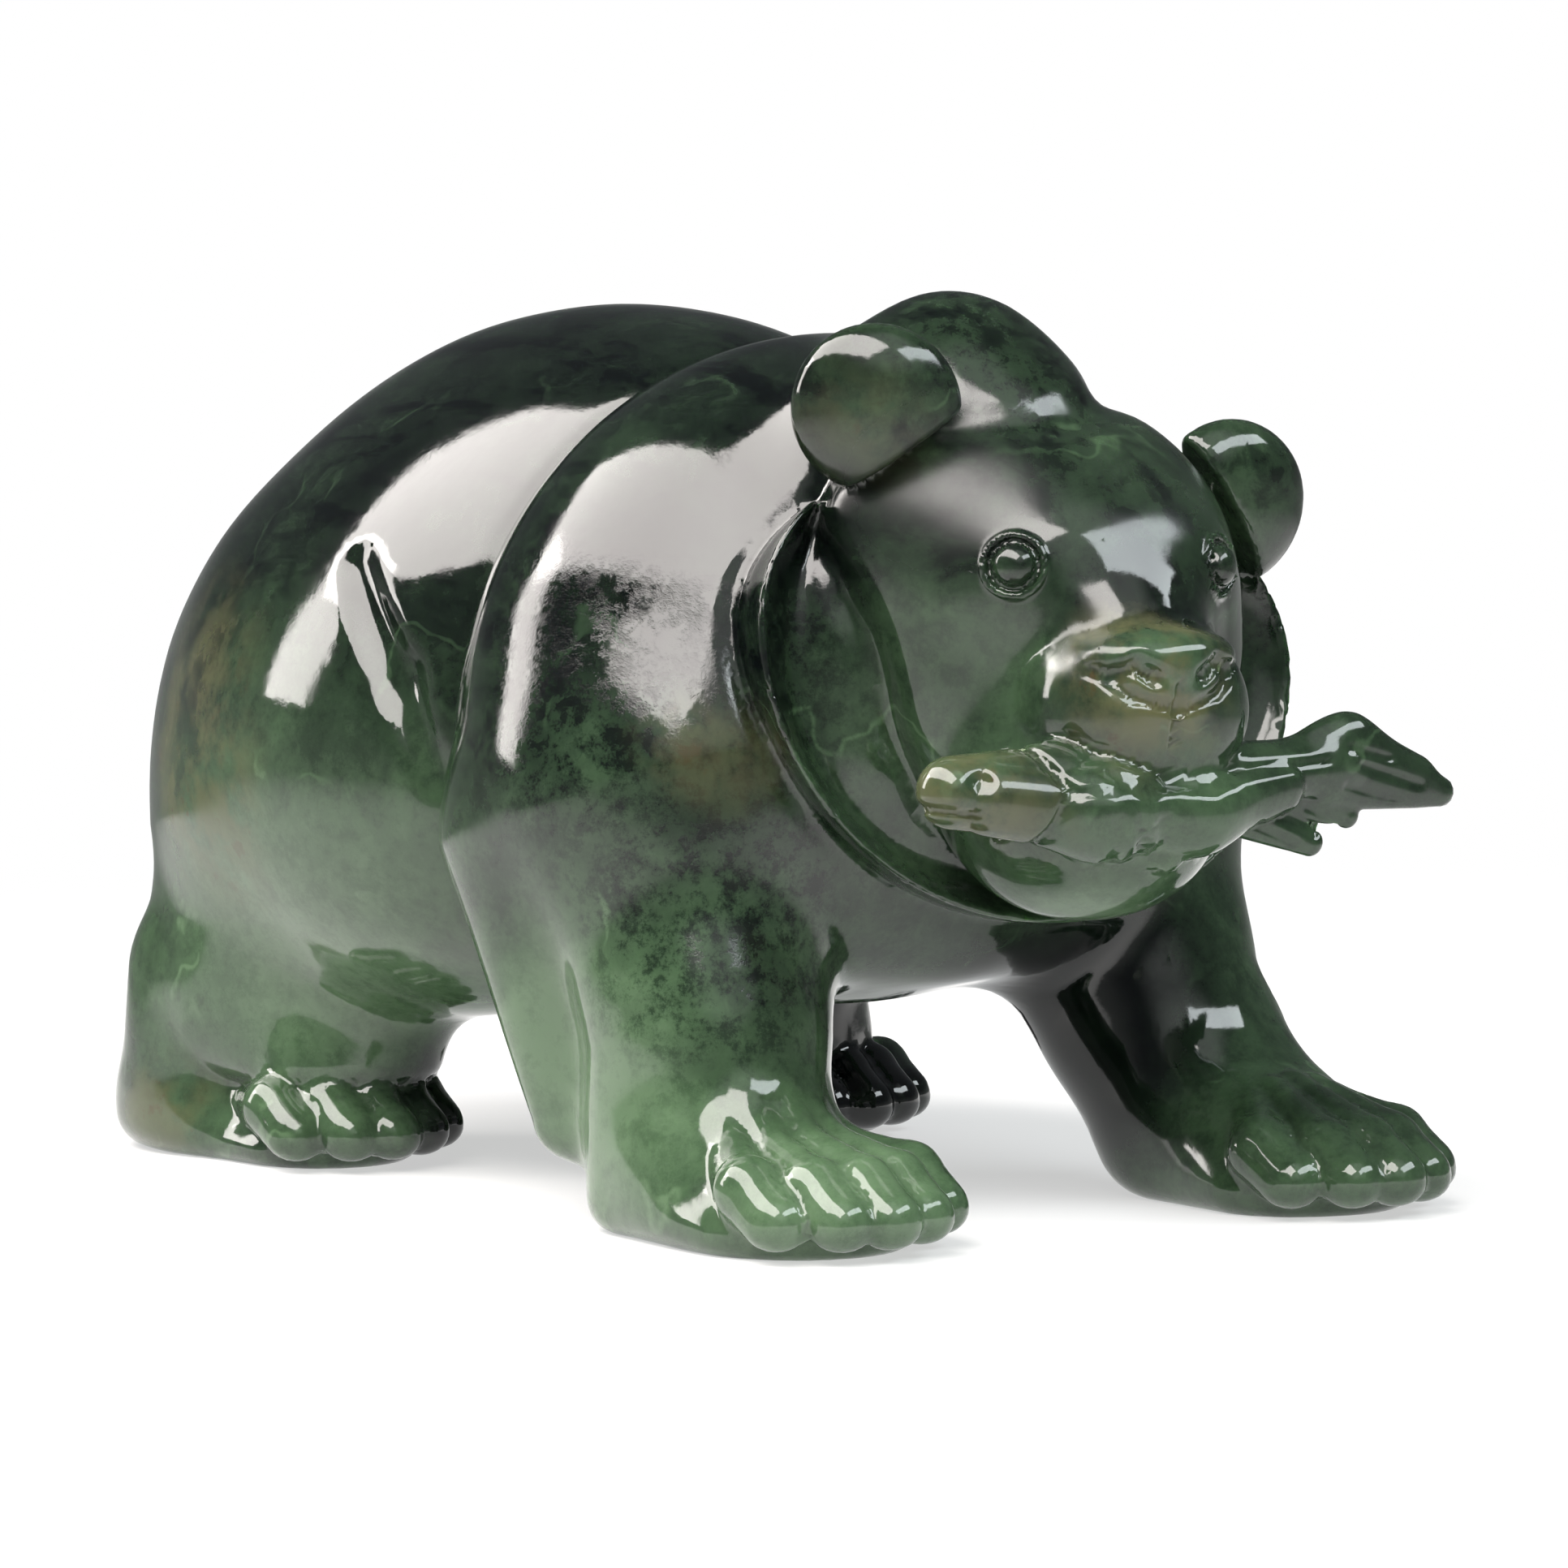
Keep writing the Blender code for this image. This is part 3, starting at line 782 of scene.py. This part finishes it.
def refined(points, faces, share):
    """The edges near fine features halved, so that lids, nose and fins have facets enough."""
    fine = np.zeros(len(points), bool)
    for place, reach in FINE_PLACES:
        fine |= np.linalg.norm(points - place, axis=1) < reach * share
    mesh = mesh_of("refining", points, faces)
    shape = bmesh.new()
    shape.from_mesh(mesh)
    bpy.data.meshes.remove(mesh)
    short = [edge for edge in shape.edges if all(fine[end.index] for end in edge.verts)]
    bmesh.ops.subdivide_edges(shape, edges=short, cuts=1, use_grid_fill=True)
    bmesh.ops.triangulate(shape, faces=shape.faces[:])
    points = np.array([vertex.co for vertex in shape.verts])
    faces = np.array([[vertex.index for vertex in face.verts] for face in shape.faces])
    shape.free()
    return points, faces


def dense(step):
    """The finished surface, thinned to the set number of facets and then refined at the fine places.
    The finished surface, with its facets under the limit.
    """
    points, faces = surface(masses, step)
    if len(faces) > TRIANGLES:
        points, faces = thinned(points, faces)
    for share in FINE_REACHES:
        points, faces = refined(points, faces, share)
    return settled(finished, points), faces


def finished_bear():
    """The visual piece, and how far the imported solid's place is from the carving's own."""
    points, faces = dense(GRID_STEP)
    low, high = np.array(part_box(NODE)) / MM
    shift = (low + high) / 2 - (points.min(axis=0) + points.max(axis=0)) / 2
    shift[2] = 0
    mesh = mesh_of(PIECE, (points + shift) * MM, faces)
    mesh.shade_smooth()
    return placed(PIECE, mesh), shift


# ---------------------------------------------------------------- the stone


def node(tree, kind, inputs=None, **settings):
    """A shader node with its settings, its inputs given as values or as sockets."""
    made = tree.nodes.new("ShaderNode" + kind)
    for name, value in settings.items():
        setattr(made, name, value)
    for name, value in (inputs or {}).items():
        if isinstance(value, bpy.types.NodeSocket):
            tree.links.new(value, made.inputs[name])
        else:
            made.inputs[name].default_value = value
    return made


def maths(tree, operation, a, b=0.0, clamp=False):
    """One sum, difference, product or the like of two values."""
    made = node(tree, "Math", {0: a, 1: b}, operation=operation, use_clamp=clamp)
    return made.outputs[0]


def mixed(tree, share, a, b):
    """A colour that goes from the first to the second by the share."""
    made = node(tree, "Mix", {0: share, 6: a, 7: b}, data_type="RGBA")
    return made.outputs[2]


def noise(tree, place, size, detail=3.0, roughness=0.5, distortion=0.0):
    """Noise whose blobs are about this size, in the units of the place."""
    values = {
        "Vector": place, "Scale": 1 / size, "Detail": detail,
        "Roughness": roughness, "Distortion": distortion,
    }
    return node(tree, "TexNoise", values).outputs["Fac"]


def ramp(tree, value, low, high):
    """A smooth step: 0 at the first number and 1 at the second."""
    values = {"Value": value, "From Min": low, "From Max": high}
    return node(tree, "MapRange", values, interpolation_type="SMOOTHSTEP").outputs[0]


def patches(tree, place, kind, limits):
    """Soft-edged patches: noise of a kind, cut off between two limits."""
    return ramp(tree, noise(tree, place, *kind), *limits)


def uneven(tree, place, kind, strength):
    """Noise about nought, of a kind and a strength."""
    about_nought = maths(tree, "SUBTRACT", noise(tree, place, *kind), 0.5)
    return maths(tree, "MULTIPLY", about_nought, strength)


def near(tree, place, centre, radius):
    """1 at a place in the stone, easing to 0 at the radius."""
    away = node(tree, "VectorMath", {0: place, 1: centre}, operation="DISTANCE")
    return ramp(tree, away.outputs["Value"], radius, radius * SPOT_CORE)


def clouds(tree, place, spots):
    """The greatest of several soft spots."""
    total = 0.0
    for centre, radius, strength in spots:
        spot = maths(tree, "MULTIPLY", near(tree, place, centre, radius), strength)
        total = maths(tree, "MAXIMUM", spot, total)
    return total


def moved(tree, place, scale, offset):
    """A place scaled and moved."""
    values = {0: place, 1: scale, 2: offset}
    return node(tree, "VectorMath", values, operation="MULTIPLY_ADD").outputs[0]


def stone_places(tree, shift):
    """Places in the carving's millimetres, as they are and as the stone's flow bends them."""
    coordinates = node(tree, "TexCoord").outputs["Object"]
    place = moved(tree, coordinates, (1 / MM,) * 3, tuple(-shift))
    values = {"Vector": place, "Scale": 1 / WANDER_SIZE, "Detail": WANDER_DETAIL}
    wander = node(tree, "TexNoise", values).outputs["Color"]
    warped = moved(tree, wander, (WANDER,) * 3, place)
    return place, moved(tree, warped, (1, 1, 1), (-WANDER / 2,) * 3)


def streaks(tree, place, height):
    """Dark streaks that run along the bear's back."""
    drawn_out = node(tree, "VectorMath", {0: place, 1: STREAK_STRETCH}, operation="MULTIPLY")
    lines = patches(tree, drawn_out.outputs[0], *STREAKS)
    return maths(tree, "MULTIPLY", lines, ramp(tree, height, *STREAK_HEIGHTS))


def veins(tree, warped):
    """Thin pale veins, here and there."""
    sheet = maths(tree, "SUBTRACT", noise(tree, warped, *VEIN_SHEETS), 0.5)
    line = ramp(tree, maths(tree, "ABSOLUTE", sheet), *VEIN_EDGES)
    return maths(tree, "MULTIPLY", line, patches(tree, warped, *VEIN_PLACES))


def tone_of(tree, place, warped, flecks):
    """How pale the colour is, from 0 to 1, with painted reflection, painted sheen and painted shade
    among its clouds.
    """
    height = node(tree, "SeparateXYZ", {0: warped}).outputs[2]
    # Paler towards the bottom and darker towards the top, by height alone.
    tone = maths(tree, "MULTIPLY", ramp(tree, height, *LEG_HEIGHTS), LEG_TONE)
    tone = maths(tree, "ADD", tone, BACK_TONE)
    tone = maths(tree, "ADD", tone, uneven(tree, place, CLOUD, CLOUD_TONE))
    tone = maths(tree, "ADD", tone, uneven(tree, warped, MOTTLE, MOTTLE_TONE))
    # Pale clouds, partly painted reflection and painted sheen.
    tone = maths(tree, "ADD", tone, clouds(tree, warped, PALE_AND_PAINTED_LIGHT))
    # Dark clouds, partly painted shade low between the legs and under the belly.
    tone = maths(tree, "SUBTRACT", tone, clouds(tree, warped, DARK_AND_PAINTED_SHADE))
    dark_lines = maths(tree, "MULTIPLY", streaks(tree, place, height), STREAK_TONE)
    tone = maths(tree, "SUBTRACT", tone, dark_lines)
    tone = maths(tree, "ADD", tone, maths(tree, "MULTIPLY", veins(tree, warped), VEIN_TONE))
    grain = maths(tree, "MULTIPLY", flecks, FLECK_TONE)
    return maths(tree, "SUBTRACT", tone, grain, clamp=True)


def coloured(tree, tone, place, warped):
    """The colour: greens by tone, painted light and shade included, with olive clouds and brown
    specks.
    """
    greens = node(tree, "ValToRGB", {0: tone})
    stops = greens.color_ramp.elements
    stops[0].color = GREENS[0][1]
    stops[1].position, stops[1].color = GREENS[-1]
    for position, colour in GREENS[1:-1]:
        stops.new(position).color = colour
    olive = clouds(tree, warped, OLIVE_SPOTS)
    patchy = maths(tree, "MULTIPLY", olive, patches(tree, place, *OLIVE_PATCHES))
    colour = mixed(tree, patchy, greens.outputs[0], OLIVE)
    specks = maths(tree, "MULTIPLY", patches(tree, place, *SPECKS), olive)
    return mixed(tree, specks, colour, BROWN)


def roughness_of(tree, place, flecks):
    """How rough the polish is: a little uneven, duller in the grain and the satin spots."""
    polish = noise(tree, place, *POLISH_PATCHES)
    values = {"Value": polish, "From Min": 0.3, "From Max": 0.7}
    values |= {"To Min": POLISHED[0], "To Max": POLISHED[1]}
    rough = node(tree, "MapRange", values).outputs[0]
    rough = maths(tree, "ADD", rough, maths(tree, "MULTIPLY", flecks, FLECK_ROUGHNESS))
    return maths(tree, "ADD", rough, clouds(tree, place, SATIN))


def bumps_of(tree, place, flecks):
    """The slight orange peel of the polish, with shallow pits at the grain."""
    pits = maths(tree, "MULTIPLY", flecks, -PIT_DEPTH)
    relief = maths(tree, "ADD", noise(tree, place, *PEEL), pits)
    values = {"Height": relief, "Distance": PEEL_HEIGHT, "Strength": PEEL_STRENGTH}
    return node(tree, "Bump", values).outputs[0]


def jade(shift):
    """Polished nephrite, dark on the back and paler in the legs, face and salmon, partly by painted
    reflection and painted sheen, with painted shade low between the legs.
    """
    material = bpy.data.materials.new("polished_nephrite")
    material.use_nodes = True
    tree = material.node_tree
    shader = tree.nodes["Principled BSDF"]
    place, warped = stone_places(tree, shift)
    grainy = maths(tree, "ADD", clouds(tree, warped, GRAINY), GRAIN_ANYWHERE)
    flecks = maths(tree, "MULTIPLY", patches(tree, place, *FLECKS), grainy)
    tone = tone_of(tree, place, warped, flecks)
    tree.links.new(coloured(tree, tone, place, warped), shader.inputs["Base Color"])
    tree.links.new(roughness_of(tree, place, flecks), shader.inputs["Roughness"])
    tree.links.new(bumps_of(tree, place, flecks), shader.inputs["Normal"])
    shader.inputs["IOR"].default_value = NEPHRITE_IOR
    shader.inputs["Subsurface Weight"].default_value = GLOW_SHARE
    shader.inputs["Subsurface Radius"].default_value = GLOW_REACHES
    shader.inputs["Subsurface Scale"].default_value = GLOW_SCALE
    return material


# ---------------------------------------------------------------- the studio


def direction(azimuth, elevation):
    """The way to a viewer, who sees the right side from azimuth 0 and the face from 90."""
    a, e = np.radians((azimuth, elevation))
    return Vector((np.sin(a) * np.cos(e), -np.cos(a) * np.cos(e), np.sin(e)))


def soft_light(name, azimuth, elevation, size, lean, radiance, colour):
    """A rectangular light a metre from the bear, facing it and leaning in its plane."""
    light = bpy.data.lights.new(name, "AREA")
    light.shape = "RECTANGLE"
    light.size, light.size_y = size
    light.energy = radiance * size[0] * size[1] * np.pi
    light.color = colour
    lamp = placed(name, light)
    way = direction(azimuth, elevation)
    lamp.location = AIM + way * LIGHT_DISTANCE
    facing = way.to_track_quat("Z", "Y") @ Quaternion((0, 0, 1), np.radians(lean))
    lamp.rotation_euler = facing.to_euler()


def paper():
    """Pale paper that glows a little and fades out round the bear."""
    material = bpy.data.materials.new("white_paper")
    material.use_nodes = True
    tree = material.node_tree
    place = node(tree, "TexCoord").outputs["Object"]
    tooth = noise(tree, place, TOOTH_SIZE)
    shader = tree.nodes["Principled BSDF"]
    shader.inputs["Base Color"].default_value = (FLOOR_WHITE, FLOOR_WHITE, FLOOR_WHITE, 1)
    shader.inputs["Emission Color"].default_value = WHITE
    shader.inputs["Emission Strength"].default_value = FLOOR_GLOW
    shader.inputs["Roughness"].default_value = FLOOR_ROUGHNESS
    shader.inputs["Specular IOR Level"].default_value = FLOOR_GLOSS
    values = {"Height": tooth, "Distance": TOOTH_HEIGHT, "Strength": TOOTH_STRENGTH}
    tree.links.new(node(tree, "Bump", values).outputs[0], shader.inputs["Normal"])
    away = node(tree, "VectorMath", {0: place}, operation="LENGTH").outputs["Value"]
    tree.links.new(ramp(tree, away, FLOOR_END, FLOOR_FADE), shader.inputs["Alpha"])
    return material


def floor():
    """A flat sheet of the paper, which isn't part of the object."""
    corners = np.array([(-1, -1, 0), (1, -1, 0), (1, 1, 0), (-1, 1, 0)])
    mesh = mesh_of("studio_floor", corners * FLOOR_HALF, np.array([(0, 1, 2, 3)]))
    mesh.materials.append(paper())
    placed("studio_floor", mesh)


def surroundings():
    """White behind the bear, and a dim room, paler near its floor, in all it reflects."""
    world = bpy.data.worlds.new("studio")
    world.use_nodes = True
    tree = world.node_tree
    way = node(tree, "TexCoord").outputs["Generated"]
    height = node(tree, "SeparateXYZ", {0: way}).outputs[2]
    room = mixed(tree, ramp(tree, height, *ROOM_HEIGHTS), ROOM_LOW, ROOM_HIGH)
    facing = node(
        tree, "VectorMath", {0: way, 1: direction(*SCRIM)}, operation="DOT_PRODUCT"
    ).outputs["Value"]
    room = mixed(tree, ramp(tree, facing, *SCRIM_REACH), room, SCRIM_COLOUR)
    seen = node(tree, "LightPath").outputs["Is Camera Ray"]
    colour = mixed(tree, seen, room, WHITE)
    tree.links.new(colour, tree.nodes["Background"].inputs["Color"])
    bpy.context.scene.world = world


def camera():
    """A long lens, at about the height of the bear's back, off its right shoulder."""
    back = direction(*VIEW)
    right = Vector((-back.y, back.x, 0)).normalized()
    up = back.cross(right)
    turn = Matrix((right, up, back)).transposed() @ Matrix.Rotation(np.radians(ROLL), 3, "Z")
    lens = bpy.data.cameras.new("camera")
    lens.sensor_width = SENSOR
    lens.lens = SENSOR * DISTANCE / VIEW_WIDTH
    lens.clip_start = NEAREST
    seat = placed("camera", lens)
    seat.matrix_world = Matrix.Translation(AIM + back * DISTANCE) @ turn.to_4x4()
    bpy.context.scene.camera = seat


def studio():
    """Floor, room, camera and lights, with colours shown as they are."""
    floor()
    surroundings()
    camera()
    for light in LIGHTS:
        soft_light(*light)
    bpy.context.scene.view_settings.view_transform = "Standard"


def main():
    """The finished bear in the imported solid's place, and the studio round it."""
    piece, shift = finished_bear()
    piece.data.materials.append(jade(shift))
    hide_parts(NODE)
    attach(piece, "root")
    studio()


main()
